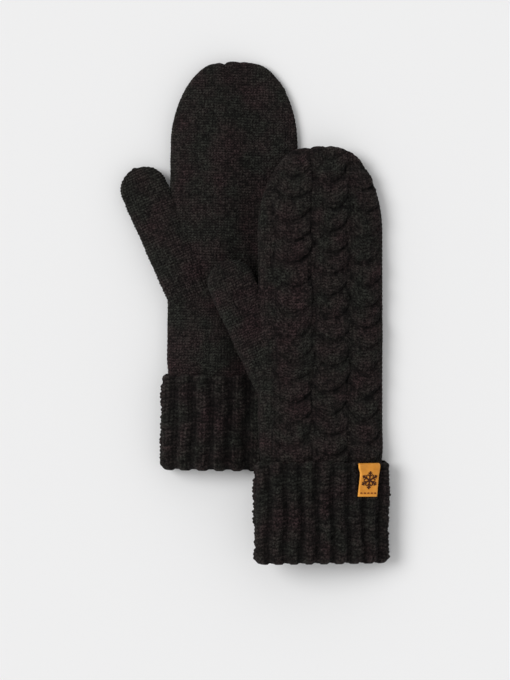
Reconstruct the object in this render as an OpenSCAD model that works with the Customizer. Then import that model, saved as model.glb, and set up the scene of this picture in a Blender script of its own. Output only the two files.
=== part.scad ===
// A pair of cable-knit mittens with ribbed turn-up cuffs, lying flat.
// The left mitten lies palm up, and the right mitten leans over its edge, back up.
// Millimetres. X runs across the pair, +Y towards the fingertips, +Z up from the surface it lies on.
// Every mitten piece is drawn palm up in the mitten's own frame: the origin is the middle of the
// wrist edge, the thumb is on the -X side, and lie(side) puts the mitten where it rests.

/* [Hand] */
// Half the width of the hand, laid flat
hand_half_w = 43.8; // [40:0.2:48]
// Thickness of the hand, laid flat
hand_t = 16; // [15:0.5:20]
// Length of the hand from the top of the cuff to the fingertips
hand_len = 214.5; // [195:0.5:230]
// Length of the rounded fingertip end
tip_round = 58; // [45:1:70]
// Thickness of the knit of the hand
hand_wall = 3.4; // [3:0.1:3.8]

/* [Cuff] */
// Height of the left mitten's turn-up
left_cuff_h = 63.5; // [55:0.5:75]
// Height of the right mitten's turn-up
right_cuff_h = 68; // [55:0.5:75]
// Half the width of the cuff, laid flat
cuff_half_w = 46.6; // [45:0.2:50]
// Thickness of the folded cuff, laid flat
cuff_t = 22; // [21:0.5:25]
// Thickness of the turned-up layer
cuff_wall = 3.4; // [3:0.1:3.6]
// Room between the turned-up layer and the layer under it
cuff_gap = 1.2; // [1.1:0.1:1.4]
// Thickness of the layer under the turn-up
band_wall = 2.6; // [2:0.1:3]

/* [Thumb] */
// Half the width of the thumb
thumb_half_w = 16.3; // [14:0.1:17]
// Thickness of the thumb
thumb_t = 12.8; // [12:0.2:14]
// Length of the thumb from its root to the centre of its round tip
thumb_len = 70; // [60:1:75]
// Angle between the thumb and the hand
thumb_lean = 25; // [22:1:32]
// How far the thumb swings out from the hand
thumb_swing = 30; // [10:5:30]
// Thickness of the knit of the thumb
thumb_wall = 2.8; // [2.4:0.1:3]

/* [Label] */
// Width of the folded label
label_w = 15; // [12:0.5:18]
// Height of the label's front
label_h = 22.4; // [18:0.2:26]
// Thickness of the label
label_t = 0.5; // [0.4:0.05:0.6]

/* [Lie of the pair] */
// Lean of the right mitten over the left one
right_tilt = 12; // [11.8:0.1:13]
// How far the left mitten is pressed down where the right one leans on it
press = 0.52; // [0.5:0.01:0.54]

/* [Hidden] */
LEFT = 0;
RIGHT = 1;

knit_black = [0.12, 0.11, 0.11];
cable_black = [0.16, 0.15, 0.15];
rib_black = [0.09, 0.085, 0.085];
yarn_black = [0.2, 0.19, 0.19];
hide_orange = [0.86, 0.55, 0.16];
thread_brown = [0.3, 0.16, 0.06];

ring_points = 24;      // points round a knitted tube
panel_points = 12;     // steps across one of the hand's panels
squareness = 3.2;      // exponent of the tubes' flattened section
flat_share = 0.97;     // where the section's top and bottom are cut flat
joint_gap = 0.5;       // room round the swinging thumb
seam_t = 1;            // length of a picked-up row between two pieces
seam_angle = 1.2;      // half the turn that a side seam takes in the section
gather_angle = 86;     // where the gathered tip ends, on its quarter turn
press_from = 5;        // the press begins here across the left mitten
press_run = 14;        // and is complete this much further on

// Where each mitten's wrist edge lies, and its turn on the surface.
left_at = [-18.2, -107.1];
left_turn = -1.05;
right_at = [45.3, -169.9];
right_lift = 18.6;    // height of the right mitten's wrist centre
left_lift = 0.7;       // the left mitten lies on its hand and its label

cuff_half_t = cuff_t / 2;
band_half_w = cuff_half_w - cuff_wall - cuff_gap;
band_half_t = cuff_half_t - cuff_wall - cuff_gap;
lip_h = 3.6;           // depth of the fold at the wrist
cover = 12;            // the turn-up covers this much of the hand
thumb_root = [-31, 126];
thumb_round = 16;      // length of the thumb's round tip past its centre
thumb_rise = 3.2;      // thumb's middle above the hand's middle, towards the palm
thumb_under = 1.6;      // room under the thumb
gusset_wall = 3;
label_x = 32;
label_back = 9;        // height of the label's hidden back
label_steps = 10;

function cuff_h(side) = side == LEFT ? left_cuff_h : right_cuff_h;
function hand_start(side) = cuff_h(side) - cover;
function hand_middle(side) = side == LEFT ? hand_t / 2 - left_lift : cuff_t - hand_t / 2;

function mix(a, b, t) = a + (b - a) * t;
function smooth(t) = let (c = min(1, max(0, t))) c * c * (3 - 2 * c);
function round_power(v) = sign(v) * pow(abs(v), 2 / squareness);

// Height factor across a mitten: the left one is pressed flatter where the right one leans.
function pressed(x, side) = side == LEFT ? mix(1, press, smooth((x - press_from) / press_run)) : 1;

// One point of the mitten's own frame, pressed down with the rest of it.
function lay(p, side) = [p.x, p.y, p.z * pressed(p.x, side)];

// Height share of the section at turn t, cut flat at the top and the bottom.
function flattened(t) = min(1, max(-1, round_power(sin(t)) / flat_share));

// Part of a flattened ring across the mitten at y, from turn t0 to t1 in n steps: half width a,
// half thickness b, middle height m.
function arc(y, a, b, m, side, t0, t1, n) = [
    for (i = [0 : n])
        let (t = mix(t0, t1, i / n)) lay([a * round_power(cos(t)), y, m + b * flattened(t)], side)
];

// The whole ring.
function ring(y, a, b, m, side) = arc(y, a, b, m, side, 0, 360 * (1 - 1 / ring_points), ring_points - 1);

// The faces between ring j and ring k, each of n points.
function wall(j, k, n) = [
    for (i = [0 : n - 1])
        let (e = (i + 1) % n)
            each [[j * n + i, j * n + e, k * n + e], [j * n + i, k * n + e, k * n + i]]
];

// A closed solid through rings of equal length, capped at both ends.
module skin(rings) {
    n = len(rings[0]);
    last = len(rings) - 1;
    polyhedron(
        points = [for (r = rings) each r],
        faces = [
            for (j = [0 : last - 1]) each wall(j, j + 1, n),
            [for (i = [n - 1 : -1 : 0]) i],
            [for (i = [0 : n - 1]) last * n + i]
        ]
    );
}

// A closed tube through rings that run up its outside and back down its inside.
module tube(rings) {
    n = len(rings[0]);
    polyhedron(
        points = [for (r = rings) each r],
        faces = [for (j = [0 : len(rings) - 1]) each wall(j, (j + 1) % len(rings), n)]
    );
}

// A closed solid between an outer and an inner sheet of points on matching grids.
module quilt(outer, inner) {
    m = len(outer) - 1;
    n = len(outer[0]) - 1;
    base = (m + 1) * (n + 1);
    function o(j, i) = j * (n + 1) + i;
    function u(j, i) = base + o(j, i);
    polyhedron(
        points = [for (r = concat(outer, inner)) each r],
        faces = [
            for (j = [0 : m - 1], i = [0 : n - 1])
                each [
                    [o(j, i), o(j, i + 1), o(j + 1, i + 1)], [o(j, i), o(j + 1, i + 1), o(j + 1, i)],
                    [u(j, i), u(j + 1, i + 1), u(j, i + 1)], [u(j, i), u(j + 1, i), u(j + 1, i + 1)]
                ],
            for (i = [0 : n - 1])
                each [
                    [o(0, i + 1), o(0, i), u(0, i)], [o(0, i + 1), u(0, i), u(0, i + 1)],
                    [o(m, i), o(m, i + 1), u(m, i + 1)], [o(m, i), u(m, i + 1), u(m, i)]
                ],
            for (j = [0 : m - 1])
                each [
                    [o(j, 0), o(j + 1, 0), u(j + 1, 0)], [o(j, 0), u(j + 1, 0), u(j, 0)],
                    [o(j + 1, n), o(j, n), u(j + 1, n)], [o(j, n), u(j, n), u(j + 1, n)]
                ]
        ]
    );
}

// Where each mitten lies in the pair.
module lie(side) {
    if (side == LEFT)
        translate([left_at.x, left_at.y, left_lift]) rotate([0, 0, left_turn]) children();
    else
        translate([right_at.x, right_at.y, right_lift]) rotate([0, right_tilt, 0])
            translate([0, 0, cuff_half_t]) mirror([0, 0, 1]) children();
}

// ---- the hand -------------------------------------------------------------------------------

// [half width, half thickness, middle height] of the hand at y, before the tip's rounding.
function hand_section(y, side) =
    let (t = smooth((y - cuff_h(side)) / 16), u = smooth((y - cuff_h(side)) / 26))
        [mix(band_half_w, hand_half_w, t), mix(band_half_t, hand_t / 2, t), mix(cuff_half_t, hand_middle(side), u)];

// The hand's surface between turns t0 and t1. The inside is the outside made smaller by the wall.
function hand_sheet(side, inside, t0, t1, n) =
    let (
        start = hand_start(side),
        round_from = cuff_h(side) + hand_len - tip_round,
        shrink_w = inside ? 1 - hand_wall / hand_half_w : 1,
        shrink_t = inside ? 1 - 2 * hand_wall / hand_t : 1,
        shrink_y = inside ? 1 - hand_wall / (cover + hand_len) : 1,
        straight = [for (k = [0 : 7]) [mix(start, cuff_h(side) + 28, k / 7), 0]],
        rounded = [for (k = [0 : 8]) let (t = gather_angle * k / 8) [round_from + tip_round * sin(t), t]]
    )
        [
            for (s = concat(straight, rounded))
                let (h = hand_section(s[0], side))
                    arc(
                        start + (s[0] - start) * shrink_y,
                        h[0] * shrink_w * pow(cos(s[1]), 0.78),
                        h[1] * shrink_t * pow(cos(s[1]), 0.7),
                        h[2],
                        side, t0, t1, n
                    )
        ];

module hand_strip(side, t0, t1, n) {
    quilt(hand_sheet(side, false, t0, t1, n), hand_sheet(side, true, t0, t1, n));
}

// Outline, seen from above, of the ground that the thumb covers as it swings, with room g round it.
function sweep_outline(g) =
    let (
        r = thumb_half_w + g,
        a0 = thumb_lean,
        a1 = thumb_lean + thumb_swing,
        way = function (a) thumb_root + thumb_len * [-sin(a), cos(a)],
        round = function (middle, t0, t1, n)
            [for (i = [0 : n]) let (t = mix(t0, t1, i / n)) middle + r * [cos(t), sin(t)]]
    )
        concat(
            round(thumb_root, a1 + 180, a0 + 360, 10),
            round(way(a0), a0, a0 + 90, 4),
            round(way(a1), a1 + 90, a1 + 180, 4)
        );

// The same ground as a block, from just under the thumb to past the palm.
module thumb_room(side, g) {
    translate([0, 0, hand_middle(side) + thumb_rise - thumb_t / 2 - thumb_under])
        linear_extrude(thumb_t + hand_t) polygon(sweep_outline(joint_gap + g));
}

module palm(side) {
    color(knit_black)
        difference() {
            hand_strip(side, seam_angle, 180 - seam_angle, panel_points);
            thumb_room(side, gusset_wall);
        }
}

module cable_back(side) {
    color(cable_black)
        difference() {
            hand_strip(side, 180 + seam_angle, 360 - seam_angle, panel_points);
            thumb_room(side, gusset_wall);
        }
}

// The linking yarn between palm and back, down both sides.
module side_seam(side) {
    color(yarn_black) {
        hand_strip(side, -seam_angle, seam_angle, 2);
        difference() {
            hand_strip(side, 180 - seam_angle, 180 + seam_angle, 2);
            thumb_room(side, gusset_wall);
        }
    }
}

// The drawn-up yarn that closes a round end: inside ring, mouth ring and a small boss.
module gather(inner, mouth, out) {
    n = len(mouth);
    middle = (mouth[0] + mouth[n / 4] + mouth[n / 2] + mouth[3 * n / 4]) / 4;
    skin([inner, mouth, [for (p = mouth) mix(middle, p, 0.55) + [0, out, 0]]]);
}

module tip_gather(side) {
    whole = 360 * (1 - 1 / ring_points);
    outer = hand_sheet(side, false, 0, whole, ring_points - 1);
    inner = hand_sheet(side, true, 0, whole, ring_points - 1);
    color(yarn_black) gather(inner[len(inner) - 1], outer[len(outer) - 1], 0.8);
}

// The wall of knit round the thumb's root, with the way through to the hand.
module thumb_gusset(side) {
    passage = thumb_half_w - 4.8;
    middle = hand_middle(side) + thumb_rise;
    color(knit_black)
        difference() {
            intersection() {
                skin([for (y = [98, 219]) ring(y, hand_half_w, hand_t / 2, hand_middle(side), side)]);
                thumb_room(side, gusset_wall);
            }
            thumb_room(side, 0);
            translate([thumb_root.x, thumb_root.y, middle - thumb_t / 2 + thumb_wall])
                for (a = [0, thumb_swing])
                    rotate([0, 0, thumb_lean + a])
                        translate([-passage, -40, 0]) cube([2 * passage, 40, thumb_t - 2 * thumb_wall]);
        }
}

// ---- the cuff -------------------------------------------------------------------------------

function cuff_ring(y, inset, side) =
    ring(y, cuff_half_w - inset, cuff_half_t - inset, cuff_half_t, side);

// The turned-up layer with its fold at the wrist, from its profile of height and inset.
module cuff(side) {
    h = cuff_h(side);
    under = cuff_wall + cuff_gap + band_wall;
    profile = [
        [0, 2.2], [0.6, 1.1], [2.2, 0], [h - 1.4, 0], [h, 1.2], [h, cuff_wall],
        [lip_h, cuff_wall], [lip_h, under], [0, under]
    ];
    color(rib_black) tube([for (p = profile) cuff_ring(p[0], p[1], side)]);
}

// A length of the layer under the turn-up.
module band_tube(side, from, to) {
    out = cuff_wall + cuff_gap;
    profile = [[from, out], [to, out], [to, out + band_wall], [from, out + band_wall]];
    tube([for (p = profile) cuff_ring(p[0], p[1], side)]);
}

module wrist_band(side) { color(rib_black) band_tube(side, lip_h + 0.4, hand_start(side) - seam_t); }

module wrist_seam(side) { color(yarn_black) band_tube(side, hand_start(side) - seam_t, hand_start(side)); }

// ---- the thumb ------------------------------------------------------------------------------

// One ring of the thumb: y along it, half width a, half thickness b, middle height m.
function thumb_ring(y, a, b, m) = [
    for (i = [0 : ring_points - 1])
        let (t = 360 * i / ring_points) [a * round_power(cos(t)), y, m + b * round_power(sin(t))]
];

// Thumb rings along +Y from its picked-up row. It droops a little on the left mitten.
function thumb_rings(side, inside) =
    let (
        wall = inside ? thumb_wall : 0,
        full = thumb_len + thumb_round,
        droop = side == LEFT ? 1.2 : 0,
        stations = concat(
            [for (k = [0 : 4]) [mix(seam_t, thumb_len, k / 4), 0]],
            [for (k = [1 : 6]) let (t = 82 * k / 6) [thumb_len + thumb_round * sin(t), t]]
        )
    )
        [
            for (s = stations)
                thumb_ring(
                    seam_t + (s[0] - seam_t) * (full - wall) / full,
                    (thumb_half_w - wall) * pow(cos(s[1]), 0.85),
                    (thumb_t / 2 - wall) * pow(cos(s[1]), 0.8),
                    hand_middle(side) + thumb_rise - droop * smooth(s[0] / thumb_len)
                )
        ];

module at_thumb_root() { translate([thumb_root.x, thumb_root.y, 0]) rotate([0, 0, thumb_lean]) children(); }

module thumb(side) {
    inner = thumb_rings(side, true);
    color(knit_black)
        at_thumb_root()
            tube(concat(thumb_rings(side, false), [for (j = [len(inner) - 1 : -1 : 0]) inner[j]]));
}

// The picked-up row that joins the thumb to its gusset.
module thumb_seam(side) {
    outer = thumb_rings(side, false)[0];
    inner = thumb_rings(side, true)[0];
    row = [for (p = [[0, outer], [seam_t, outer], [seam_t, inner], [0, inner]]) [for (q = p[1]) [q.x, p[0], q.z]]];
    color(yarn_black) at_thumb_root() tube(row);
}

module thumb_gather(side) {
    outer = thumb_rings(side, false);
    inner = thumb_rings(side, true);
    color(yarn_black) at_thumb_root() gather(inner[len(inner) - 1], outer[len(outer) - 1], 0.6);
}

// ---- the label ------------------------------------------------------------------------------

// Height of the cuff's back face, grown by out, at x.
function cuff_face(x, out) =
    cuff_half_t - (cuff_half_t + out) * pow(1 - pow(abs(x) / (cuff_half_w + out), squareness), 1 / squareness);

function label_stop(i) = label_x + label_w * (i / label_steps - 0.5);

// The label's folded section at x: up the front, over the cuff's edge and down inside.
function label_section(x, side) =
    let (
        h = cuff_h(side),
        front = cuff_face(x, label_t + 0.1),
        face = cuff_face(x, 0.1),
        inner = cuff_face(x, -cuff_wall - 0.1),
        back = cuff_face(x, -cuff_wall - 0.1 - label_t),
        profile = [
            [h - label_h, face], [h - label_h, front], [h + 0.3, front], [h + 0.8, front + 0.5],
            [h + 0.8, back - 0.5], [h + 0.3, back], [h - label_back, back], [h - label_back, inner],
            [h + 0.1, inner], [h + 0.1, face]
        ]
    )
        [for (p = profile) lay([x, p[0], p[1]], side)];

module label(side) {
    color(hide_orange) skin([for (i = [label_steps : -1 : 0]) label_section(label_stop(i), side)]);
}

// A row of stitches across the foot of the label.
module label_stitches(side) {
    y = cuff_h(side) - label_h + 1.6;
    color(thread_brown)
        for (i = [1 : 2 : label_steps - 1])
            skin([
                for (x = [label_stop(i + 1), label_stop(i)])
                    let (front = cuff_face(x, label_t + 0.1))
                        [
                            for (p = [[y, front], [y, front - 0.25], [y + 0.6, front - 0.25], [y + 0.6, front]])
                                lay([x, p[0], p[1]], side)
                        ]
            ]);
}

lie(LEFT) palm(LEFT);  // left_palm
lie(LEFT) cable_back(LEFT);  // left_cable_back
lie(LEFT) side_seam(LEFT);  // left_side_seam
lie(LEFT) tip_gather(LEFT);  // left_tip_gather
lie(LEFT) thumb_gusset(LEFT);  // left_thumb_gusset
lie(LEFT) wrist_band(LEFT);  // left_wrist_band
lie(LEFT) wrist_seam(LEFT);  // left_wrist_seam
lie(LEFT) thumb(LEFT);  // left_thumb
lie(LEFT) thumb_seam(LEFT);  // left_thumb_seam
lie(LEFT) thumb_gather(LEFT);  // left_thumb_gather
lie(LEFT) cuff(LEFT);  // left_cuff
lie(LEFT) label(LEFT);  // left_label
lie(LEFT) label_stitches(LEFT);  // left_label_stitches
lie(RIGHT) palm(RIGHT);  // right_palm
lie(RIGHT) cable_back(RIGHT);  // right_cable_back
lie(RIGHT) side_seam(RIGHT);  // right_side_seam
lie(RIGHT) tip_gather(RIGHT);  // right_tip_gather
lie(RIGHT) thumb_gusset(RIGHT);  // right_thumb_gusset
lie(RIGHT) wrist_band(RIGHT);  // right_wrist_band
lie(RIGHT) wrist_seam(RIGHT);  // right_wrist_seam
lie(RIGHT) thumb(RIGHT);  // right_thumb
lie(RIGHT) thumb_seam(RIGHT);  // right_thumb_seam
lie(RIGHT) thumb_gather(RIGHT);  // right_thumb_gather
lie(RIGHT) cuff(RIGHT);  // right_cuff
lie(RIGHT) label(RIGHT);  // right_label
lie(RIGHT) label_stitches(RIGHT);  // right_label_stitches
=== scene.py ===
"""Looks of a pair of cable-knit mittens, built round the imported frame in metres.

Every knitted wall is a fine sheet whose stitches, cables and ribs are real relief. The shapes are
worked out in millimetres in each mitten's own frame, palm up, with the wrist edge at the origin, and
then laid down as the pair lies.
"""

import logging  # noqa: E402
import math  # noqa: E402
from dataclasses import dataclass, field  # noqa: E402
from enum import Enum  # noqa: E402
from typing import Callable, Sequence  # noqa: E402

import bmesh  # noqa: E402
import bpy  # noqa: E402
import numpy as np  # noqa: E402
from mathutils import Euler, Matrix, Vector  # noqa: E402

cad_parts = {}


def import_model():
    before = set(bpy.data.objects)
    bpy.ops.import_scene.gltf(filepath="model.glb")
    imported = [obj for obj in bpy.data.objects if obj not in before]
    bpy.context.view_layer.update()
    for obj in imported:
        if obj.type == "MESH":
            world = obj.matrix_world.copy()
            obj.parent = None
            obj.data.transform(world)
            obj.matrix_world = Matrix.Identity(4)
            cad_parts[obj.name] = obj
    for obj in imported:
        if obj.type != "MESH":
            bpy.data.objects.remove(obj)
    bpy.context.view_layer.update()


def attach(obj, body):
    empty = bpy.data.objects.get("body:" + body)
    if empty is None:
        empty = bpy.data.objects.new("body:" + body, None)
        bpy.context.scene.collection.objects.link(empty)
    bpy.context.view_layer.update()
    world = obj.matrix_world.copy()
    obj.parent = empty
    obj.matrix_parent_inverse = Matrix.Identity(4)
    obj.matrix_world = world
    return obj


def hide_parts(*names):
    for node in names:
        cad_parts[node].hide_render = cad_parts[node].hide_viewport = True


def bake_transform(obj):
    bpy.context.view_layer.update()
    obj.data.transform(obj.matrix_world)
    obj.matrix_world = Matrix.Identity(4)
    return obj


log = logging.getLogger("mittens")
Array = np.ndarray
Stops = Sequence[tuple[float, float, float]]
MM = 0.001
SQUARENESS = 2.9


class Side(Enum):
    """Which hand a mitten is for."""

    LEFT = "left"
    RIGHT = "right"


class Turn(Enum):
    """Which half of the hand's section a panel covers."""

    PALM = 1
    BACK = -1


def smooth(t: Array) -> Array:
    """Smooth step of t between 0 and 1."""
    c = np.clip(t, 0.0, 1.0)
    return c * c * (3 - 2 * c)


def mix(a: Array, b: Array, t: Array) -> Array:
    """Straight mix of a and b by t."""
    return a + (b - a) * t


def power(v: Array, exponent: float) -> Array:
    """Signed power of v."""
    return np.sign(v) * np.abs(v) ** exponent


def bell(v: Array, width: float) -> Array:
    """A bell curve of that width, 1 at zero."""
    return np.exp(-((v / width) ** 2))


def arch(v: Array) -> Array:
    """A row of round arches, one for each whole step of v."""
    return np.sqrt(np.abs(np.sin(np.pi * v)))


def ripple(x: Array, y: Array, seed: float) -> Array:
    """Slow unevenness from -1 to 1 over a hand-made surface, the same each run.

    Args:
        x: place across, in mm.
        y: place along, in mm.
        seed: a number that tells one surface from another.

    Returns:
        The unevenness at each point.
    """
    return (
        np.sin(x / 9.7 + 1.3 * seed) * np.sin(y / 13.1 + 2.1 * seed)
        + 0.6 * np.sin(x / 5.3 - y / 7.9 + seed)
        + 0.5 * np.sin(y / 4.7 + x / 11.0 + 3.7 * seed)
    ) / 2.1


def fleck(i: Array, j: Array, seed: float) -> Array:
    """A fixed chance number from 0 to 1 for each whole i and j."""
    return np.abs(np.sin(i * 127.1 + j * 311.7 + seed * 74.7) * 43758.5453) % 1.0


def grain(x: Array, y: Array, cell: float, seed: float) -> Array:
    """Smooth chance unevenness from 0 to 1.

    Args:
        x: place across, in mm.
        y: place along, in mm.
        cell: size of one patch, in mm.
        seed: a number that tells one surface from another.

    Returns:
        The unevenness at each point.
    """
    i, j = np.floor(x / cell), np.floor(y / cell)
    a, b = smooth(x / cell - i), smooth(y / cell - j)
    low = mix(fleck(i, j, seed), fleck(i + 1, j, seed), a)
    high = mix(fleck(i, j + 1, seed), fleck(i + 1, j + 1, seed), a)
    return mix(low, high, b)


# ---- relief of the knit ---------------------------------------------------------------------


@dataclass(frozen=True)
class Relief:
    """Relief of a knit at each point of a sheet.

    Attributes:
        height: height in mm.
        tone: how far the yarn stands in the light, from 0 to 1.
        column: which column of stitches, counted across.
        row: which row of stitches, counted along.
    """

    height: Array
    tone: Array
    column: Array
    row: Array


@dataclass(frozen=True)
class PlainKnit:
    """Fine plain knit, whose inside shows as rows of small bumps."""

    stitch: float = 2.05
    row: float = 1.85
    height: float = 0.75

    def relief(self, u: Array, v: Array, loose: float = 0.3) -> Relief:
        """Relief of the stitches.

        Args:
            u: distance across the stitches, in mm.
            v: distance along the columns, in mm.
            loose: how far the stitches stray, as a share of a stitch.

        Returns:
            The relief.
        """
        column = u / self.stitch + loose * ripple(u * 0.9, v * 1.1, 5.0)
        row = v / self.row + 0.4 * arch(column) + loose * ripple(v * 1.3, u * 1.2, 2.0)
        chance = fleck(np.floor(column), np.floor(row), 1.0)
        stitch = (0.4 + 0.6 * arch(column)) * arch(row)
        rough = grain(u, v, 2.7, 7.0) - 0.5
        height = self.height * stitch * (0.6 + 0.8 * chance) + 0.6 * rough
        return Relief(height, np.clip(0.3 + 0.6 * chance + 0.3 * rough, 0, 1), column, row)


@dataclass(frozen=True)
class CableKnit:
    """Horseshoe cables side by side: soft lumps with short creases between them."""

    centres: tuple[float, ...] = (-21.0, 5.4, 30.0)
    half_widths: tuple[float, ...] = (13.2, 12.4, 11.6)
    repeat: float = 15.5
    height: float = 3.1
    plain: PlainKnit = PlainKnit(stitch=2.75, row=2.3, height=0.95)

    def relief(self, u: Array, v: Array) -> Relief:
        """Relief of the cables, with plain knit beside them.

        Args:
            u: distance across from the middle of the panel, in mm.
            v: distance along the hand, in mm.

        Returns:
            The relief.
        """
        knit = self.plain.relief(u, v, 0.45)
        height, tone, row = knit.height - 0.2, knit.tone, knit.row
        for number, (centre, half) in enumerate(zip(self.centres, self.half_widths)):
            s = (u - centre + 0.9 * np.sin(v / 6.1 + 2.0 * number) + 0.8 * ripple(v, v, 2.0)) / half
            m = np.clip(np.abs(s), 0.0, 1.0)
            swing = 0.12 * np.sin(v / 19.0 + 2.0 * number) + 0.13 * ripple(u * 1.4, v * 1.2, 9.0)
            turn = v / self.repeat - 0.5 * m**2 + 0.37 * number + swing
            lump = np.floor(turn)
            f = turn - lump
            chance = fleck(lump, number + 0 * lump, 3.0)
            strand = np.sin(np.pi * f**0.8) ** 0.8
            fade = 1.0 - 0.8 * m**5
            body = mix(1.0, fade, 0.45 + 0.55 * chance) * (0.3 + 0.16 * chance + 0.6 * strand)
            crease = bell(np.minimum(f, 1 - f), 0.12) * smooth((s + 0.5) / 1.1)
            crease = crease * (0.1 + 0.9 * chance)
            soft = grain(u, v, 3.3, 6.0) - 0.5
            h = self.height * body + knit.height * 1.1 + 1.3 * soft - 1.1 * crease - 1.2
            # Painted light on the raised strands, painted shade in the creases and along the cable's sides.
            light = knit.tone * (0.68 + 0.55 * strand * fade) - 0.4 * crease - 0.16 * m**9
            inside = np.abs(s) < 1.0
            height = np.where(inside, h, height)
            tone = np.where(inside, np.clip(light, 0, 1), tone)
            row = np.where(inside, turn * self.repeat / self.plain.row + 0.4 * arch(knit.column), row)
        return Relief(height, tone, knit.column, row)


@dataclass(frozen=True)
class RibKnit:
    """Chunky rib: raised, lumpy columns with gutters between them."""

    ribs: int = 18
    girth: float = 207.0
    stitch_row: float = 5.3
    height: float = 2.4
    plain: PlainKnit = PlainKnit(stitch=2.6, row=2.65, height=1.0)

    def relief(self, turn: Array, v: Array) -> Relief:
        """Relief of the ribs.

        Args:
            turn: share of the way round the cuff, from 0 to 1.
            v: height on the cuff, in mm.

        Returns:
            The relief.
        """
        u = turn * self.girth
        around = turn * self.ribs + 0.08 * np.sin(v / 9.0 + 12.0 * turn)
        across = np.abs(around % 1.0 - 0.5) * 2
        ridge = smooth((0.88 - across) / 0.66)
        knit = self.plain.relief(u, v - 1.6 * across, 0.3)
        beat = v / self.stitch_row - 0.3 * across + 0.3 * ripple(u * 2, v * 1.4, 3.0)
        chance = fleck(np.floor(around), np.floor(beat), 4.0)
        lump = np.abs(np.sin(np.pi * beat)) ** 0.7 * (0.5 + chance)
        soft = grain(u, v, 3.4, 8.0) - 0.5
        height = self.height * ridge * (0.66 + 0.34 * lump) + knit.height * 1.25 + 1.1 * soft
        # Painted shade in the gutters and between the lumps, painted light on the ridges and lumps.
        tone = knit.tone * (0.45 + 0.65 * ridge) * (0.68 + 0.45 * lump)
        return Relief(height, np.clip(tone, 0, 1), knit.column, knit.row)


def joined(relief: Callable[[Array], Relief], turn: Array) -> Relief:
    """Relief of a wall that closes on itself, eased into its own start over its last stretch.

    Args:
        relief: gives the relief at a share of the way round.
        turn: share of the way round, from 0 to 1.

    Returns:
        The relief, which ends as it starts.
    """
    first, again = relief(turn), relief(turn - 1)
    share = smooth((turn - 0.96) / 0.04)
    height, tone = mix(first.height, again.height, share), mix(first.tone, again.tone, share)
    return Relief(height, tone, first.column, first.row)


# ---- meshes -----------------------------------------------------------------------------------


class Sheet:
    """A fine grid that is mapped onto a shape and closed into a solid."""

    def __init__(self, name: str, across: int, along: int) -> None:
        """Makes the grid.

        Args:
            name: the piece's name.
            across: number of steps across, along the first coordinate.
            along: number of steps along, along the second coordinate.
        """
        self.name = name
        bm = bmesh.new()
        bmesh.ops.create_grid(bm, x_segments=across, y_segments=along, size=0.5)
        self.mesh = bpy.data.meshes.new(name)
        bm.to_mesh(self.mesh)
        bm.free()
        count = len(self.mesh.vertices)
        flat = np.empty(count * 3, np.float64)
        self.mesh.vertices.foreach_get("co", flat)
        flat = flat.reshape(-1, 3)
        self.p = flat[:, 0] + 0.5
        self.q = flat[:, 1] + 0.5

    def close(
        self, points: Array, tone: Array, stitches: Sequence[object] = (0.5, 0.5), filled: bool = False
    ) -> bpy.types.Object:
        """Moves the grid's points into place and closes it.

        Args:
            points: each point's place in mm, in the row frame.
            tone: how far each point stands in the light, from 0 to 1.
            stitches: the column and the row of stitches at each point.
            filled: whether its open ends are filled with faces.

        Returns:
            The finished object.
        """
        self.mesh.vertices.foreach_set("co", (points * MM).astype(np.float32).ravel())
        for key, values in zip(("tone", "column", "row"), (tone, *stitches)):
            layer = self.mesh.attributes.new(key, "FLOAT", "POINT")
            layer.data.foreach_set("value", np.array(np.broadcast_to(values, self.p.shape), np.float32))
        bm = bmesh.new()
        bm.from_mesh(self.mesh)
        bmesh.ops.remove_doubles(bm, verts=bm.verts, dist=2e-6)
        if filled:
            rim = [e for e in bm.edges if e.is_boundary]
            bmesh.ops.holes_fill(bm, edges=rim, sides=0)
            bmesh.ops.triangulate(bm, faces=[f for f in bm.faces if len(f.verts) > 4])
        bmesh.ops.recalc_face_normals(bm, faces=bm.faces)
        for face in bm.faces:
            face.smooth = True
        bm.to_mesh(self.mesh)
        bm.free()
        return show(self.name, self.mesh)


def show(name: str, mesh: bpy.types.Mesh) -> bpy.types.Object:
    """Puts a mesh into the scene as an object of that name, at the origin."""
    made = bpy.data.objects.new(name, mesh)
    bpy.context.scene.collection.objects.link(made)
    return made


def outward(grid: Callable[[Array, Array], Array], p: Array, q: Array) -> Array:
    """Unit directions across a mapped surface, found from its slopes.

    Args:
        grid: maps p and q to places in mm.
        p: first coordinate.
        q: second coordinate.

    Returns:
        The cross product of the slopes along p and along q, made unit length.
    """
    e = 1e-3
    dp = grid(p + e, q) - grid(p - e, q)
    dq = grid(p, q + e) - grid(p, q - e)
    n = np.cross(dp, dq)
    return n / np.maximum(np.linalg.norm(n, axis=1, keepdims=True), 1e-9)


# ---- materials --------------------------------------------------------------------------------


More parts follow.
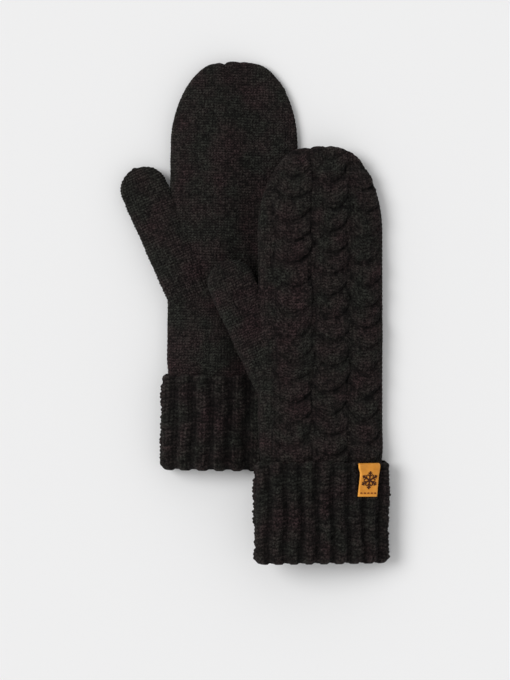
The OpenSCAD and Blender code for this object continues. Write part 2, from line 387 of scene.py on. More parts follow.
class Value:
    """A socket that carries a number, with the arithmetic that the finishes use."""

    def __init__(self, shader: "Shader", socket: bpy.types.NodeSocket) -> None:
        """Keeps the shader and the socket."""
        self.shader, self.socket = shader, socket

    def _maths(self, operation: str, *values: object) -> "Value":
        """Adds one Math node for an operation on values."""
        made = self.shader.node("ShaderNodeMath", {"operation": operation}, dict(enumerate(values)))
        return Value(self.shader, made.outputs[0])

    def arch(self) -> "Value":
        """A row of round arches, one for each whole step of this."""
        wave = self._maths("ABSOLUTE", self._maths("SINE", self * math.pi))
        return self._maths("SQRT", wave)

    def __add__(self, other: object) -> "Value":
        """This plus other."""
        return self._maths("ADD", self, other)

    def __radd__(self, other: object) -> "Value":
        """Other plus this."""
        return self._maths("ADD", other, self)

    def __sub__(self, other: object) -> "Value":
        """This less other."""
        return self._maths("SUBTRACT", self, other)

    def __rsub__(self, other: object) -> "Value":
        """Other less this."""
        return self._maths("SUBTRACT", other, self)

    def __mul__(self, other: object) -> "Value":
        """This times other."""
        return self._maths("MULTIPLY", self, other)

    def __rmul__(self, other: object) -> "Value":
        """Other times this."""
        return self._maths("MULTIPLY", other, self)

    def __pow__(self, other: object) -> "Value":
        """This to the power of other."""
        return self._maths("POWER", self, other)


class Shader:
    """One material and the nodes in it."""

    def __init__(self, name: str) -> None:
        """Starts a material that holds one Principled shader."""
        self.material = bpy.data.materials.new(name)
        self.material.use_nodes = True
        self.tree = self.material.node_tree
        self.tree.nodes.clear()
        self.surface = self.node("ShaderNodeBsdfPrincipled")
        self.node("ShaderNodeOutputMaterial", {}, {"Surface": self.surface.outputs["BSDF"]})

    def node(self, kind: str, settings: dict | None = None, inputs: dict | None = None) -> bpy.types.Node:
        """Adds a node.

        Args:
            kind: the node's type.
            settings: its own settings, set before its sockets.
            inputs: a value or a link for each named or numbered socket.

        Returns:
            The node.
        """
        made = self.tree.nodes.new(kind)
        for key, value in (settings or {}).items():
            setattr(made, key, value)
        for key, value in (inputs or {}).items():
            self.join(value, made.inputs[key])
        return made

    def join(self, value: object, socket: bpy.types.NodeSocket) -> None:
        """Links a socket or a Value into a socket, or sets a plain value there."""
        if isinstance(value, Value):
            value = value.socket
        if isinstance(value, bpy.types.NodeSocket):
            self.tree.links.new(value, socket)
        else:
            socket.default_value = value

    def attribute(self, name: str) -> Value:
        """A number that the mesh carries at each point."""
        return Value(self, self.node("ShaderNodeAttribute", {"attribute_name": name}).outputs["Fac"])

    def noise(self, scale: float, detail: float = 2.0, stretch: Sequence[float] = (1, 1, 1)) -> Value:
        """Noise on Object coordinates.

        Args:
            scale: how many features a metre holds.
            detail: octaves of finer noise.
            stretch: share of the scale along each axis.

        Returns:
            The noise, about 0.5 on average.
        """
        place = self.node("ShaderNodeTexCoord").outputs["Object"]
        turned = self.node("ShaderNodeMapping", {}, {"Vector": place, "Scale": tuple(stretch)})
        made = self.node(
            "ShaderNodeTexNoise", {}, {"Vector": turned.outputs[0], "Scale": scale, "Detail": detail}
        )
        return Value(self, made.outputs[0])

    def blend(self, share: Value, a: object, b: object) -> bpy.types.NodeSocket:
        """A colour from a to b by share, where each is a socket or three numbers."""
        ends = [c if isinstance(c, bpy.types.NodeSocket) else (*c, 1.0) for c in (a, b)]
        made = self.node("ShaderNodeMix", {"data_type": "RGBA"}, {0: share, 6: ends[0], 7: ends[1]})
        return made.outputs[2]

    def bump(self, height: Value, depth: float, strength: float) -> bpy.types.NodeSocket:
        """A normal bumped by height, whose full range is depth metres."""
        made = self.node("ShaderNodeBump", {}, {"Height": height, "Distance": depth, "Strength": strength})
        return made.outputs[0]


@dataclass(frozen=True)
class YarnFinish:
    """Soft dark yarn: painted shade between the stitches, paler on them, warm here and greenish there."""

    name: str
    lift: float = 1.0
    # Near-black colour for the painted shade between the stitches.
    groove_shade: tuple[float, float, float] = (0.0014, 0.0011, 0.0011)
    warm: tuple[float, float, float] = (0.0470, 0.0275, 0.0285)
    cool: tuple[float, float, float] = (0.0310, 0.0320, 0.0265)
    fibre: float = 980.0

    def material(self) -> bpy.types.Material:
        """Makes the yarn's material."""
        shader = Shader(self.name)
        tone = shader.attribute("tone")
        fuzz = shader.noise(self.fibre, 3.0)
        stray = shader.noise(520.0, 2.0)
        patch = shader.noise(48.0, 2.0)
        column = (shader.attribute("column") + stray * 1.1 + fuzz * 0.5).arch()
        row = (shader.attribute("row") + stray * 0.8 + fuzz * 0.7).arch()
        # The stitch arches darken the stitch borders in the colour, painted shade between the stitches; they also
        # drive the bump.
        stitch = (column * 0.6 + 0.4) * (row * 0.85 + 0.15)
        share = tone * stitch * (fuzz * 5.8 - 2.0) * (stray * 0.6 + 0.7) * self.lift
        crest = shader.blend(patch * 3.2 + fuzz * 1.4 - 1.75, self.warm, self.cool)
        surface = shader.surface
        # A low share shows the painted shade colour; the tone attribute brings in the knit's painted light and
        # shade.
        shader.join(shader.blend(share, self.groove_shade, crest), surface.inputs["Base Color"])
        shader.join(fuzz * 0.15 + 0.8, surface.inputs["Roughness"])
        surface.inputs["Specular IOR Level"].default_value = 0.1
        surface.inputs["Sheen Weight"].default_value = 0.04
        surface.inputs["Sheen Roughness"].default_value = 0.5
        surface.inputs["Sheen Tint"].default_value = (0.5, 0.46, 0.45, 1.0)
        shader.join(shader.bump(stitch * 0.6 + fuzz * 0.8, 0.0010, 0.9), surface.inputs["Normal"])
        return shader.material


@dataclass(frozen=True)
class HideFinish:
    """Smooth dyed hide with a fine grain, and painted highlights where the tone attribute is high."""

    name: str
    pale: tuple[float, float, float] = (0.88, 0.385, 0.060)
    deep: tuple[float, float, float] = (0.56, 0.205, 0.018)

    def material(self) -> bpy.types.Material:
        """Makes the hide's material."""
        shader = Shader(self.name)
        grain = shader.noise(2300.0, 4.0)
        cloud = shader.noise(260.0, 2.0)
        surface = shader.surface
        # The tone attribute adds the label's painted highlights along its edges.
        share = cloud * 0.8 + grain * 0.4 - 0.25 + shader.attribute("tone") * 0.6
        shader.join(shader.blend(share, self.deep, self.pale), surface.inputs["Base Color"])
        shader.join(grain * 0.25 + 0.42, surface.inputs["Roughness"])
        surface.inputs["Specular IOR Level"].default_value = 0.25
        shader.join(shader.bump(grain, 0.00025, 0.5), surface.inputs["Normal"])
        return shader.material


@dataclass(frozen=True)
class PaintFinish:
    """A plain matt finish with faint cloudiness, for thread, printed marks and the floor."""

    name: str
    pale: tuple[float, float, float]
    deep: tuple[float, float, float]
    scale: float = 900.0
    rough: float = 0.7

    def material(self) -> bpy.types.Material:
        """Makes the material."""
        shader = Shader(self.name)
        cloud = shader.noise(self.scale, 2.0)
        surface = shader.surface
        shader.join(shader.blend(cloud, self.deep, self.pale), surface.inputs["Base Color"])
        shader.join(cloud * 0.1 + self.rough, surface.inputs["Roughness"])
        surface.inputs["Specular IOR Level"].default_value = 0.2
        return shader.material


@dataclass
class Wardrobe:
    """The materials of the pair, one of each."""

    palm: bpy.types.Material = field(init=False)
    cable: bpy.types.Material = field(init=False)
    rib: bpy.types.Material = field(init=False)
    yarn: bpy.types.Material = field(init=False)
    hide: bpy.types.Material = field(init=False)
    thread: bpy.types.Material = field(init=False)
    mark: bpy.types.Material = field(init=False)

    def __post_init__(self) -> None:
        """Makes each material."""
        self.palm = YarnFinish("palm_knit").material()
        self.cable = YarnFinish("cable_knit").material()
        self.rib = YarnFinish("rib_knit", lift=0.9).material()
        self.yarn = YarnFinish("linking_yarn", lift=0.7).material()
        self.hide = HideFinish("label_hide").material()
        self.thread = PaintFinish("label_thread", (0.20, 0.045, 0.008), (0.12, 0.026, 0.006)).material()
        self.mark = PaintFinish("label_mark", (0.075, 0.021, 0.006), (0.040, 0.011, 0.004)).material()


# ---- the mittens ------------------------------------------------------------------------------


# Where each wrist lies in mm, how each mitten is turned or tilted in degrees, how flat the left one
# is pressed where the right one lies on it, and how far both stay off the floor.
LEFT_AT = (-18.2, -107.1)
RIGHT_AT = (45.3, -169.9)
LEFT_TURN = -1.05
RIGHT_TILT = 12.0
LEFT_PRESS = 0.455
FLOOR_GAP = 0.05


@dataclass(frozen=True)
class MittenSizes:
    """One mitten's sizes in mm, and how it lies."""

    side: Side
    cuff_h: float
    ribs: int
    hand_half_w: float = 43.2
    hand_half_t: float = 8.2
    hand_len: float = 214.5
    tip_round: float = 58.0
    cuff_half_w: float = 46.6
    cuff_half_t: float = 11.0
    band_half_w: float = 42.0
    band_half_t: float = 6.4
    cover: float = 12.0
    root: tuple[float, float] = (-31.0, 126.0)
    lean: float = 25.0

    @property
    def hand_middle(self) -> float:
        """Height of the hand's middle, palm up."""
        return 7.3 if self.side is Side.LEFT else 14.0

    def body(self, part: str) -> str:
        """Name of a body of this mitten."""
        return f"{self.side.value}_{part}"

    def node(self, part: str) -> str:
        """Name of a node of this mitten."""
        return f"{self.side.value}_{part}"

    def lay(self, points: Array) -> Array:
        """Lays palm-up points down where the mitten rests.

        Args:
            points: places in the mitten's own frame, in mm.

        Returns:
            Places in the row frame, in mm.
        """
        x, y, z = points[:, 0], points[:, 1], points[:, 2]
        if self.side is Side.LEFT:
            z = z * mix(1.0, LEFT_PRESS, smooth((x + 12.0) / 31.0))
            a = math.radians(LEFT_TURN)
            out = np.stack(
                [
                    x * math.cos(a) - y * math.sin(a) + LEFT_AT[0],
                    x * math.sin(a) + y * math.cos(a) + LEFT_AT[1],
                    z + 0.7,
                ],
                axis=1,
            )
            out[:, 2] = np.maximum(out[:, 2], FLOOR_GAP)
            return out
        w = 11.0 - z
        tilt = math.radians(RIGHT_TILT)
        drop = 2.0 * smooth((x - 2.0) / 36.0)
        up = 18.6 - x * math.sin(tilt) + w * math.cos(tilt) - drop
        across = x * math.cos(tilt) + w * math.sin(tilt) + RIGHT_AT[0]
        return np.stack([across, y + RIGHT_AT[1], np.maximum(up, FLOOR_GAP)], axis=1)


LEFT = MittenSizes(Side.LEFT, cuff_h=63.5, ribs=16)
RIGHT = MittenSizes(Side.RIGHT, cuff_h=68.0, ribs=18)


def section(turn: Array, a: Array, b: Array) -> tuple[Array, Array]:
    """A flattened round section.

    Args:
        turn: angle round it, in radians.
        a: half its width.
        b: half its thickness.

    Returns:
        Places across and up from its middle.
    """
    return a * power(np.cos(turn), 2 / SQUARENESS), b * power(np.sin(turn), 2 / SQUARENESS)


def even_turns(share: Array, start: float, stop: float, a: float, b: float) -> tuple[Array, float]:
    """Angles that space points evenly along a stretch of the section.

    Args:
        share: share of the stretch, from 0 to 1.
        start: angle where the stretch starts, in radians.
        stop: angle where it stops.
        a: half the section's width.
        b: half its thickness.

    Returns:
        The angle for each share, and the stretch's length in mm.
    """
    t = np.linspace(start, stop, 4001)
    x, z = section(t, a, b)
    walked = np.concatenate([[0.0], np.cumsum(np.hypot(np.diff(x), np.diff(z)))])
    return np.interp(share * walked[-1], walked, t), float(walked[-1])


@dataclass
class Hand:
    """The hand of one mitten: its two panels, side yarns and gathered tip."""

    sizes: MittenSizes
    wardrobe: Wardrobe

    def outline(self, y: Array) -> tuple[Array, Array, Array]:
        """Half width, half thickness and middle height of the hand at y."""
        s = self.sizes
        t = smooth((y - s.cuff_h + 2) / 15.0)
        u = smooth((y - s.cuff_h) / 26.0)
        a = mix(s.band_half_w, s.hand_half_w, t)
        b = mix(s.band_half_t, s.hand_half_t, t)
        return a, b, mix(s.cuff_half_t, s.hand_middle, u)

    def surface(self, way: Turn, inset: float) -> Callable[[Array, Array], Array]:
        """The mapping of one panel.

        Args:
            way: palm or back.
            inset: how far it lies inside the outer surface, in mm.

        Returns:
            A function from p, across, and q, along, to palm-up places in mm.
        """
        s = self.sizes
        start = s.cuff_h - s.cover
        straight = s.hand_len + s.cover - s.tip_round
        full = straight + s.tip_round * 1.2

        def place(p: Array, q: Array) -> Array:
            """Palm-up place of p and q."""
            turn, _ = even_turns(np.clip(p, 0, 1), 0.0, math.pi, s.hand_half_w, s.hand_half_t)
            gone = np.clip(q, 0, 1) * full
            angle = np.clip((gone - straight) / (full - straight), 0, 1) * math.radians(89.3)
            y = start + np.minimum(gone, straight) + (s.tip_round - inset) * np.sin(angle)
            a, b, m = self.outline(y)
            a = (a - inset) * np.cos(angle) ** (0.80 - 0.2 * np.sin(angle) ** 8)
            b = (b - inset) * np.cos(angle) ** 0.62
            x, z = section(turn, a, b)
            return np.stack([x, y, m + z * way.value], axis=1)

        return place

    def panel(self, way: Turn) -> bpy.types.Object:
        """Knits one panel: outside in fine stitches, then round to a plain inside.

        Args:
            way: palm or back.

        Returns:
            The panel.
        """
        s = self.sizes
        palm = way is Turn.PALM
        fine, coarse = 180, 14
        sheet = Sheet(s.node("palm_panel" if palm else "cable_panel"), fine + coarse, 480)
        edge = fine / (fine + coarse)
        out = sheet.p <= edge + 1e-9
        p = np.where(out, sheet.p / edge, (1 - sheet.p) / (1 - edge))
        q = sheet.q
        outer, inner = self.surface(way, 0.0), self.surface(way, 3.0)
        base = outer(p, q)
        normal = outward(outer, np.clip(p, 0.002, 0.998), np.clip(q, 0.002, 0.995)) * -way.value
        _, width = even_turns(np.array([0.5]), 0.0, math.pi, s.hand_half_w, s.hand_half_t)
        a, _, _ = self.outline(base[:, 1])
        turn, _ = even_turns(p, 0.0, math.pi, s.hand_half_w, s.hand_half_t)
        narrow = np.abs(base[:, 0]) / np.maximum(np.abs(section(turn, a, a)[0]), 1e-6)
        u = (0.5 - p) * width * np.clip(narrow, 0.0, 1.0)
        v = base[:, 1]
        knit = (PlainKnit() if palm else CableKnit()).relief(u, v)
        tone = knit.tone
        height = knit.height - (0.4 if palm else 1.2) + 0.45 * ripple(u, v, 1.0 + len(s.side.value))
        height = height * mix(0.4, 1.0, smooth(np.minimum(p, 1 - p) * width / 8.0))
        under = smooth((v - s.cuff_h + 1.5) / 5.0)
        height = mix(np.minimum(height, 0.2) * 0.4 - 0.3, height, under)
        tip = s.cuff_h + s.hand_len
        near = smooth((v - tip + 20.0) / 18.0)
        notch, dip = (-7.0, 1.0) if s.side is Side.LEFT else (-6.5, 0.3)
        pucker = 0.8 * bell(u - notch, 3.6)
        pucker = pucker + 0.5 * bell(u - notch - 9, 2.4) + 0.4 * bell(u - notch + 8, 2.4)
        height = height * (1 - 0.6 * near) - near * pucker
        # Painted shade in the puckers at the tip.
        tone = tone * (1 - 0.75 * near * np.clip(pucker / 2.0, 0, 1))
        seam = bell(np.minimum(p, 1 - p) * width, 1.3)
        height = height - 0.8 * seam
        points = base + normal * height[:, None]
        points[:, 1] -= near * dip * bell(u - notch, 4.2)
        points[:, 0] += 0.35 * np.sin(v / 21.0) * smooth((v - s.cuff_h) / 30.0)
        inside = inner(p, q)
        points = np.where(out[:, None], points, inside)
        tone = np.where(out, tone, 0.25)
        made = sheet.close(s.lay(points), tone, (knit.column, knit.row), filled=True)
        made.data.materials.append(self.wardrobe.palm if palm else self.wardrobe.cable)
        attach(made, s.body("mitten"))
        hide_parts(*[s.node(n) for n in (("palm", "thumb_gusset") if palm else ("cable_back",))])
        return made

    def side_yarn(self) -> bpy.types.Object:
        """The linking yarn down both sides, as two twisted cords in the seam."""
        s = self.sizes
        made = []
        for p in (0.0, 1.0):
            sheet = Sheet(s.node("side_yarn"), 10, 420)
            place = self.surface(Turn.PALM, 0.9)
            line = place(np.full_like(sheet.q, p), sheet.q * 0.985)
            round_ = sheet.p * 2 * math.pi
            lump = 0.75 + 0.3 * np.abs(np.sin(line[:, 1] * math.pi / 3.05))
            lump = lump * np.minimum(1, np.minimum(sheet.q, 1 - sheet.q) * 60)
            line[:, 0] += lump * np.cos(round_)
            line[:, 2] += lump * np.sin(round_)
            # Painted light on the yarn's lumps, painted shade between them.
            tone = 0.2 + 0.5 * np.abs(np.sin(line[:, 1] * math.pi / 3.05))
            made.append(sheet.close(s.lay(line), tone))
        with bpy.context.temp_override(active_object=made[0], selected_editable_objects=made):
            bpy.ops.object.join()
        yarn = made[0]
        yarn.name = s.node("side_yarn")
        yarn.data.materials.append(self.wardrobe.yarn)
        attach(yarn, s.body("mitten"))
        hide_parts(s.node("side_seam"))
        return yarn

    def tip_yarn(self) -> bpy.types.Object:
        """The drawn-up end of yarn that closes the fingertips."""
        s = self.sizes
        at = np.array([-1.0, s.cuff_h + s.hand_len - 1.6, s.hand_middle])
        made = knot(s.node("tip_yarn"), s, at, (6.2, 2.0, 1.9))
        made.data.materials.append(self.wardrobe.yarn)
        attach(made, s.body("mitten"))
        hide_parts(s.node("tip_gather"))
        return made

    def build(self) -> list[bpy.types.Object]:
        """Builds the hand's pieces."""
        return [self.panel(Turn.PALM), self.panel(Turn.BACK), self.side_yarn(), self.tip_yarn()]


def knot(name: str, sizes: MittenSizes, at: Array, half: Sequence[float]) -> bpy.types.Object:
    """A small lump of wound yarn.

    Args:
        name: the piece's name.
        sizes: the mitten it belongs to.
        at: its palm-up place, in mm.
        half: half its sizes across, along and up, in mm.

    Returns:
        The lump.
    """
    sheet = Sheet(name, 36, 24)
    round_, rise = sheet.p * 2 * math.pi, (sheet.q - 0.5) * math.pi
    wound = 1 + 0.12 * np.sin(5 * round_ + 7 * sheet.q) * np.cos(rise)
    points = np.stack(
        [
            half[0] * np.sin(rise),
            half[1] * np.cos(rise) * np.cos(round_) * wound,
            half[2] * np.cos(rise) * np.sin(round_) * wound,
        ],
        axis=1,
    )
    return sheet.close(sizes.lay(points + at), 0.3 + 0.3 * np.sin(5 * round_ + 7 * sheet.q) ** 2)


@dataclass
class Thumb:
    """The thumb of one mitten, from inside the hand to its round tip."""

    sizes: MittenSizes
    wardrobe: Wardrobe
    half_w: float = 16.0
    half_t: float = 6.9
    length: float = 70.0
    tip: float = 16.0
    closing: float = 1.35
    buried: float = 26.0
    columns: int = 38

    def turned(self, points: Array) -> Array:
        """Turns points along the thumb to its lean and puts them at its root."""
        a = math.radians(self.sizes.lean)
        x, y = points[:, 0], points[:, 1]
        return np.stack(
            [
                self.sizes.root[0] + x * math.cos(a) - y * math.sin(a),
                self.sizes.root[1] + x * math.sin(a) + y * math.cos(a),
                points[:, 2],
            ],
            axis=1,
        )

    def place(self, p: Array, q: Array) -> Array:
        """Place along the thumb of p, round it, and q, along it."""
        s = self.sizes
        turn, _ = even_turns(p % 1.0, 0.0, 2 * math.pi, self.half_w, self.half_t)
        full = self.buried + self.length + self.tip * self.closing
        y = np.clip(q, 0, 1) * full - self.buried
        angle = np.clip((y - self.length) / (self.tip * self.closing), 0, 1) * math.radians(89.5)
        along = np.minimum(y, self.length) + self.tip * np.sin(angle)
        start = np.clip((y + self.buried) / 6.0, 0.0, 1.0)
        end = np.sqrt(np.clip(1 - (1 - start) ** 2, 0.0004, 1))
        root = smooth(-y / 24.0)
        a = self.half_w * np.cos(angle) ** 0.85 * end * (1 - 0.12 * root)
        b = self.half_t * np.cos(angle) ** 0.75 * end * (1 - 0.2 * root)
        sag = 3.4 if s.side is Side.LEFT else -3.0
        m = s.hand_middle + 3.0 - abs(sag) * smooth(y / self.length) * (1 if sag > 0 else -1) - 5.0 * root
        x, z = section(turn, a, b)
        return np.stack([x, along, m + z], axis=1)

    def tube(self) -> bpy.types.Object:
        """Knits the thumb."""
        s = self.sizes
        sheet = Sheet(s.node("thumb_tube"), 168, 264)
        base = self.place(sheet.p, sheet.q)
        normal = outward(self.place, sheet.p, np.clip(sheet.q, 0.004, 0.992)) * -1
        plain = PlainKnit()
        knit = joined(lambda turn: plain.relief(turn * self.columns * plain.stitch, base[:, 1], 0.0), sheet.p)
        swell = ripple(self.half_w * np.cos(2 * math.pi * sheet.p), base[:, 1], 6.0)
        height = knit.height - 0.4 + 0.3 * swell
        near = smooth((base[:, 1] - self.length - self.tip + 9) / 9.0)
        height = height - near * 0.7 * np.abs(np.sin(sheet.p * 7 * math.pi))
        ends = np.minimum(1, np.minimum(sheet.q, 1 - sheet.q) * 80)
        points = base + normal * (height * ends)[:, None]
        made = sheet.close(s.lay(self.turned(points)), knit.tone, (knit.column, knit.row), filled=True)
        made.data.materials.append(self.wardrobe.palm)
        low, high = (s.lay(self.turned(np.array([[0.0, y, s.hand_middle]])))[0] * MM for y in (-16.0, 14.0))
        s.body("mitten")
        s.body("thumb_tube")
        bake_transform(made)
        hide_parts(s.node("thumb"), s.node("thumb_seam"))
        return made

    def tip_yarn(self) -> bpy.types.Object:
        """The drawn-up end of yarn at the thumb's tip."""
        s = self.sizes
        end = self.place(np.array([0.0]), np.array([1.0]))[0]
        at = self.turned(np.array([[0.0, end[1] - 0.9, end[2]]]))[0]
        made = knot(s.node("thumb_tip_yarn"), s, at, (2.6, 1.5, 1.4))
        made.data.materials.append(self.wardrobe.yarn)
        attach(made, s.body("thumb_tube"))
        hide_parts(s.node("thumb_gather"))
        return made

    def build(self) -> list[bpy.types.Object]:
        """Builds the thumb's pieces."""
        return [self.tube(), self.tip_yarn()]


@dataclass
class Cuff:
    """The rib at the wrist: the turn-up and the band under it."""

    sizes: MittenSizes
    wardrobe: Wardrobe

    def ring(self, p: Array, y: Array, inset: Array) -> Array:
        """Palm-up place at share p round the cuff, height y, lying inset mm inside."""
        s = self.sizes
        turn, _ = even_turns(p % 1.0, 0.0, 2 * math.pi, s.cuff_half_w, s.cuff_half_t)
        x, z = section(turn, s.cuff_half_w - inset, s.cuff_half_t - inset)
        return np.stack([x, y, s.cuff_half_t + z], axis=1)

    def profile(self, share: Array, stops: Stops) -> tuple[Array, Array]:
        """Height and inset at a share of the way round a wall's profile."""
        at = [stop[0] for stop in stops]
        return np.interp(share, at, [s[1] for s in stops]), np.interp(share, at, [s[2] for s in stops])

    def wall(self, name: str, along: int, stops: Stops, lift: float) -> bpy.types.Object:
        """Knits one layer of rib.

        Args:
            name: the piece's name.
            along: steps round the profile.
            stops: share of the steps, height in mm and inset in mm, from the fold up the outside,
                over the edge and down the inside.
            lift: share of the rib's full relief.

        Returns:
            The layer.
        """
        s = self.sizes
        rib = RibKnit(ribs=s.ribs)
        sheet = Sheet(name, s.ribs * 22, along)
        y, inset = self.profile(sheet.q, stops)
        place = self.ring(sheet.p, y, inset)
        e = 1e-3
        tangent = self.ring(sheet.p + e, y, inset) - self.ring(sheet.p - e, y, inset)
        normal = np.stack([tangent[:, 2], 0 * y, -tangent[:, 0]], axis=1)
        normal /= np.maximum(np.linalg.norm(normal, axis=1, keepdims=True), 1e-9)
        knit = joined(lambda turn: rib.relief(turn, y), sheet.p)
        top = max(stop[1] for stop in stops)
        deepest = max(stop[2] for stop in stops)
        outer = smooth((deepest - inset) / max(deepest - min(t[2] for t in stops), 1e-6) * 1.6 - 0.3)
        rounding = np.minimum(smooth(y / 3.2), smooth((top - y) / 2.2)) * 0.55 + 0.45
        wide = smooth((9.4 - np.abs(place[:, 0] - Label.middle)) / 1.6)
        under = wide * (place[:, 2] < s.cuff_half_t) * smooth((y - s.cuff_h + 25.5) / 2.0)
        height = mix(knit.height, np.minimum(knit.height, 1.3), under)
        points = place + normal * (lift * height * outer * rounding)[:, None]
        ridge = smooth((0.74 - np.abs((sheet.p * s.ribs) % 1.0 - 0.5) * 2) / 0.42)
        points[:, 1] += lift * ridge * (1.0 * bell(y - top, 3.0) - 1.1 * bell(y, 3.5))
        points[:, 1] += lift * 0.5 * np.sin(sheet.p * 12 * math.pi) * bell(y - top, 9.0)
        corner = np.clip((np.abs(place[:, 0]) - s.cuff_half_w + 7.0) / 7.0, 0, 1)
        lost = 1 - np.sqrt(1 - 0.98 * corner**2)
        points[:, 1] += lost * (4.2 * np.exp(-y / 7.0) - 1.3 * np.exp((y - s.cuff_h) / 3.0))
        beside = bell(place[:, 0] - Label.middle, 9.0) * (place[:, 2] < s.cuff_half_t)
        pulled = beside * np.exp((y - s.cuff_h) / 9.0)
        points[:, 1] -= (Label.sunk - 0.6) * pulled
        # Painted shade on the faces that lie further in: inside the cuff, on the turn-up's underside and in the
        # fold.
        tone = knit.tone * (0.3 + 0.7 * outer)
        made = sheet.close(s.lay(points), tone, (knit.column, knit.row))
        made.data.materials.append(self.wardrobe.rib)
        return made

    def turn_up(self) -> bpy.types.Object:
        """The turned-up layer, its fold and its open top edge."""
        s = self.sizes
        h = s.cuff_h
        stops = [
            (0.0, 1.2, 6.4), (0.02, 0.2, 5.0), (0.05, 0.3, 3.4), (0.08, 2.4, 2.0), (0.86, h - 1.2, 2.0),
            (0.89, h - 0.2, 2.5), (0.91, h - 0.3, 3.2), (0.93, h - 2.0, 3.6), (0.97, 4.2, 3.6), (0.985, 3.8, 6.6),
            (1.0, 1.2, 6.4),
        ]
        made = self.wall(s.node("turn_up_rib"), 176, stops, 1.0)
        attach(made, s.body("turn_up"))
        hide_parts(s.node("cuff"))
        return made

    def band(self) -> bpy.types.Object:
        """The layer of rib under the turn-up."""
        s = self.sizes
        top = s.cuff_h - s.cover + 1.0
        stops = [
            (0.0, 4.2, 5.9), (0.02, 4.0, 5.4), (0.45, top, 5.4),
            (0.5, top, 7.0), (0.98, 4.0, 7.0), (1.0, 4.2, 5.9),
        ]
        made = self.wall(s.node("wrist_band_rib"), 74, stops, 0.28)
        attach(made, s.body("mitten"))
        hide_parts(s.node("wrist_band"), s.node("wrist_seam"))
        return made

    def build(self) -> list[bpy.types.Object]:
        """Builds the cuff's pieces."""
        return [self.turn_up(), self.band()]


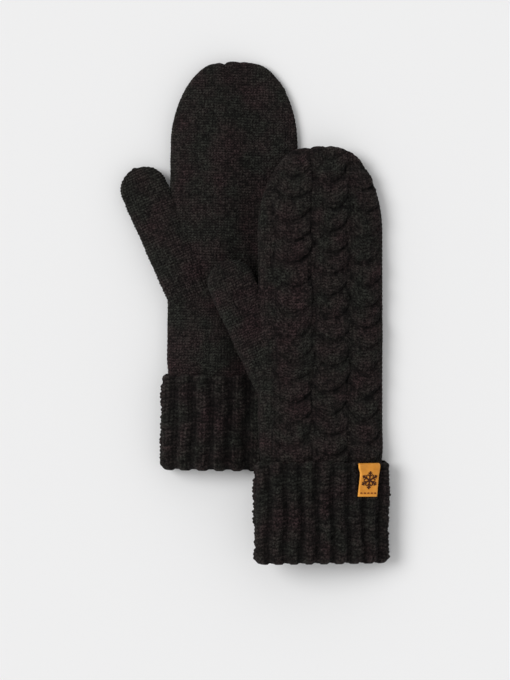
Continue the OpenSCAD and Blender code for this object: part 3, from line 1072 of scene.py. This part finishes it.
@dataclass
class Label:
    """The folded hide label over the cuff's open edge, with its mark and its stitches."""

    sizes: MittenSizes
    wardrobe: Wardrobe
    middle: float = 30.5
    width: float = 13.9
    front: float = 20.9
    sunk: float = 2.4
    back: float = 9.0
    bend: float = 4.4
    inwards: float = 3.8
    thick: float = 1.1
    skew: float = 6.2

    def place(self, across: Array, down: Array, out: Array) -> Array:
        """Palm-up place on the label.

        Args:
            across: distance from its middle line, in mm.
            down: distance down its front from the fold; below zero it goes over and inside.
            out: distance out from its outer face, in mm.

        Returns:
            Places in mm.
        """
        s = self.sizes
        skew = math.radians(self.skew)
        curl = smooth((-2 * across / self.width - 0.2) / 0.8) * smooth((5.5 - down) / 5.5)
        x = self.middle + across * (1 + 0.04 * smooth((8 - down) / 8))
        x = x - (down - 10.0) * math.sin(skew) - 1.7 * curl
        top = s.cuff_h - self.sunk
        y = top - np.maximum(down, 0.0) * math.cos(skew) - across * 0.012
        fold = np.clip(-down / self.bend, 0, 1)
        y = np.where(down < 0, top + 0.9 * np.sin(fold * math.pi) - np.maximum(-down - self.bend, 0), y)
        share = 1 - (np.abs(x) / (s.cuff_half_w + 0.6)) ** SQUARENESS
        face = (s.cuff_half_t + 0.6) * np.maximum(share, 0.05) ** (1 / SQUARENESS)
        flare = 1.5 * curl * (down > -2)
        crown = 0.25 * np.sin(down / 3.1 + across / 4.0)
        inner = face - self.inwards
        level = mix(face, inner, fold) + flare + crown * (down > 0) + out * np.cos(fold * math.pi)
        return np.stack([x, y + out * np.sin(fold * math.pi), s.cuff_half_t - level], axis=1)

    def strip(self) -> bpy.types.Object:
        """The label itself, a closed strip with rounded edges."""
        s = self.sizes
        sheet = Sheet(s.node("label_hide"), 40, 120)
        half = self.thick / 2
        top = sheet.p <= 0.5
        across = np.where(top, sheet.p * 4 - 1, 3 - sheet.p * 4)
        across = np.clip(across, -1, 1)
        down = mix(self.front, -(self.back + self.bend), sheet.q)
        edge = np.sqrt(np.clip(1 - np.abs(across) ** 14, 0, 1))
        ends = np.minimum(1, np.minimum(sheet.q, 1 - sheet.q) * 60)
        out = half * (edge * ends * np.where(top, 1, -1)) + half
        points = self.place(across * self.width / 2, down, out)
        # Painted highlights: the tone rises along both side edges, far more on the left edge near the fold, and
        # along the foot.
        left = 1 + 2.5 * (across < 0) * smooth((9 - down) / 6)
        made = sheet.close(s.lay(points), bell(1 - np.abs(across), 0.09) * left + bell(self.front - down, 0.8))
        made.data.materials.append(self.wardrobe.hide)
        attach(made, s.body("turn_up"))
        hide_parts(s.node("label"))
        return made

    def raised(self, name: str, shapes: Callable[[bmesh.types.BMesh], None], body: str) -> bpy.types.Object:
        """Wraps small flat shapes onto the label's front.

        Args:
            name: the piece's name.
            shapes: draws the shapes in mm: across, down and out.
            body: the body they ride on.

        Returns:
            The piece.
        """
        bm = bmesh.new()
        shapes(bm)
        mesh = bpy.data.meshes.new(name)
        bmesh.ops.recalc_face_normals(bm, faces=bm.faces)
        bm.to_mesh(mesh)
        bm.free()
        co = np.array([v.co for v in mesh.vertices], float).reshape(-1, 3)
        points = self.sizes.lay(self.place(co[:, 0], co[:, 1], co[:, 2] + self.thick)) * MM
        mesh.vertices.foreach_set("co", points.astype(np.float32).ravel())
        bm = bmesh.new()
        bm.from_mesh(mesh)
        bmesh.ops.recalc_face_normals(bm, faces=bm.faces)
        bm.to_mesh(mesh)
        bm.free()
        made = show(name, mesh)
        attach(made, self.sizes.body(body))
        return made

    @staticmethod
    def bar(bm: bmesh.types.BMesh, a: Vector, b: Vector, width: float, high: float) -> None:
        """A bevelled bar from a to b, cut into short lengths so that it follows the label."""
        middle, way = (a + b) / 2, b - a
        turn = Matrix.Rotation(math.atan2(way.y, way.x), 4, "Z")
        size = Matrix.Diagonal((way.length, width, high, 1))
        made = bmesh.ops.create_cube(bm, size=1.0, matrix=Matrix.Translation(middle) @ turn @ size)
        edges = list({e for v in made["verts"] for e in v.link_edges})
        bmesh.ops.bevel(
            bm, geom=edges, offset=min(width, high) * 0.3, affect="EDGES", segments=2, profile=0.5, material=-1
        )

    def snowflake(self, bm: bmesh.types.BMesh) -> None:
        """Draws a plain six-armed snowflake."""
        centre = Vector((0.2, 9.6, 0.05))
        for arm in range(6):
            a = math.radians(60 * arm + 30)
            way = Vector((math.cos(a), math.sin(a), 0))
            self.bar(bm, centre, centre + way * 6.1, 1.15, 0.3)
            for at, size in ((2.6, 2.3), (4.2, 1.6)):
                for swing in (-1, 1):
                    b = a + swing * math.radians(55)
                    end = centre + way * at + Vector((math.cos(b), math.sin(b), 0)) * size
                    self.bar(bm, centre + way * at, end, 0.85, 0.28)

    def stitches(self, bm: bmesh.types.BMesh) -> None:
        """Draws the row of stitches across the label's foot."""
        for i in range(5):
            x = -5.4 + i * 2.45
            self.bar(bm, Vector((x, 18.4, 0.1)), Vector((x + 1.5, 18.4, 0.1)), 0.85, 0.5)

    def build(self) -> list[bpy.types.Object]:
        """Builds the label's pieces."""
        s = self.sizes
        strip = self.strip()
        mark = self.raised(s.node("label_mark"), self.snowflake, "turn_up")
        mark.data.materials.append(self.wardrobe.mark)
        row = self.raised(s.node("label_stitch_row"), self.stitches, "turn_up")
        row.data.materials.append(self.wardrobe.thread)
        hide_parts(s.node("label_stitches"))
        return [strip, mark, row]


# ---- floor, light and camera ------------------------------------------------------------------


@dataclass
class Studio:
    """The pale floor, the soft light and the camera above."""

    lens: float = 200.0
    tall: float = 0.4624
    aim: tuple[float, float, float] = (0.0, -0.0187, 0.016)
    sensor: float = 36.0
    air: float = 0.62
    sun: float = 1.78
    spread: float = 34.0
    falls: tuple[float, float, float] = (0.9, -0.3, -1.0)

    def floor(self) -> None:
        """A wide pale floor just under the pair."""
        bm = bmesh.new()
        bmesh.ops.create_grid(bm, x_segments=2, y_segments=2, size=4.0)
        mesh = bpy.data.meshes.new("studio_floor")
        bm.to_mesh(mesh)
        bm.free()
        made = show("studio_floor", mesh)
        made.data.materials.append(
            PaintFinish("floor_paint", (0.84, 0.84, 0.842), (0.835, 0.835, 0.838), 3.0, 0.85).material()
        )

    def light(self) -> None:
        """Soft light from all round, and a broad one from the upper left."""
        world = bpy.data.worlds.new("studio_air")
        bpy.context.scene.world = world
        world.use_nodes = True
        world.node_tree.nodes["Background"].inputs[0].default_value = (1.0, 1.0, 1.0, 1.0)
        world.node_tree.nodes["Background"].inputs[1].default_value = self.air
        key = bpy.data.lights.new("window", "SUN")
        key.energy = self.sun
        key.angle = math.radians(self.spread)
        made = bpy.data.objects.new("window", key)
        made.rotation_euler = Vector(self.falls).to_track_quat("-Z", "Y").to_euler()
        bpy.context.scene.collection.objects.link(made)

    def tones(self) -> None:
        """Plain display of the colours, so that the floor stays pale and the yarn dark."""
        bpy.context.scene.view_settings.view_transform = "Standard"

    def camera(self) -> None:
        """A long-lensed camera straight above."""
        data = bpy.data.cameras.new("overhead")
        data.lens = self.lens
        data.sensor_width = self.sensor
        made = bpy.data.objects.new("overhead", data)
        away = self.tall * self.lens / self.sensor
        made.location = Vector(self.aim) + Vector((0, 0, away))
        made.rotation_euler = Euler((0.0, 0.0, 0.0))
        data.clip_end = 20.0
        bpy.context.scene.collection.objects.link(made)
        bpy.context.scene.camera = made

    def build(self) -> None:
        """Builds the studio."""
        self.floor()
        self.light()
        self.tones()
        self.camera()


def main() -> None:
    """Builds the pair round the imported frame."""
    logging.basicConfig(level=logging.INFO, format="%(name)s: %(message)s")
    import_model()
    Studio().build()
    wardrobe = Wardrobe()
    for sizes in (LEFT, RIGHT):
        for part in (Hand, Thumb, Cuff, Label):
            for made in part(sizes, wardrobe).build():
                log.info("%s: %d faces", made.name, len(made.data.polygons))


if __name__ == "__main__":
    main()
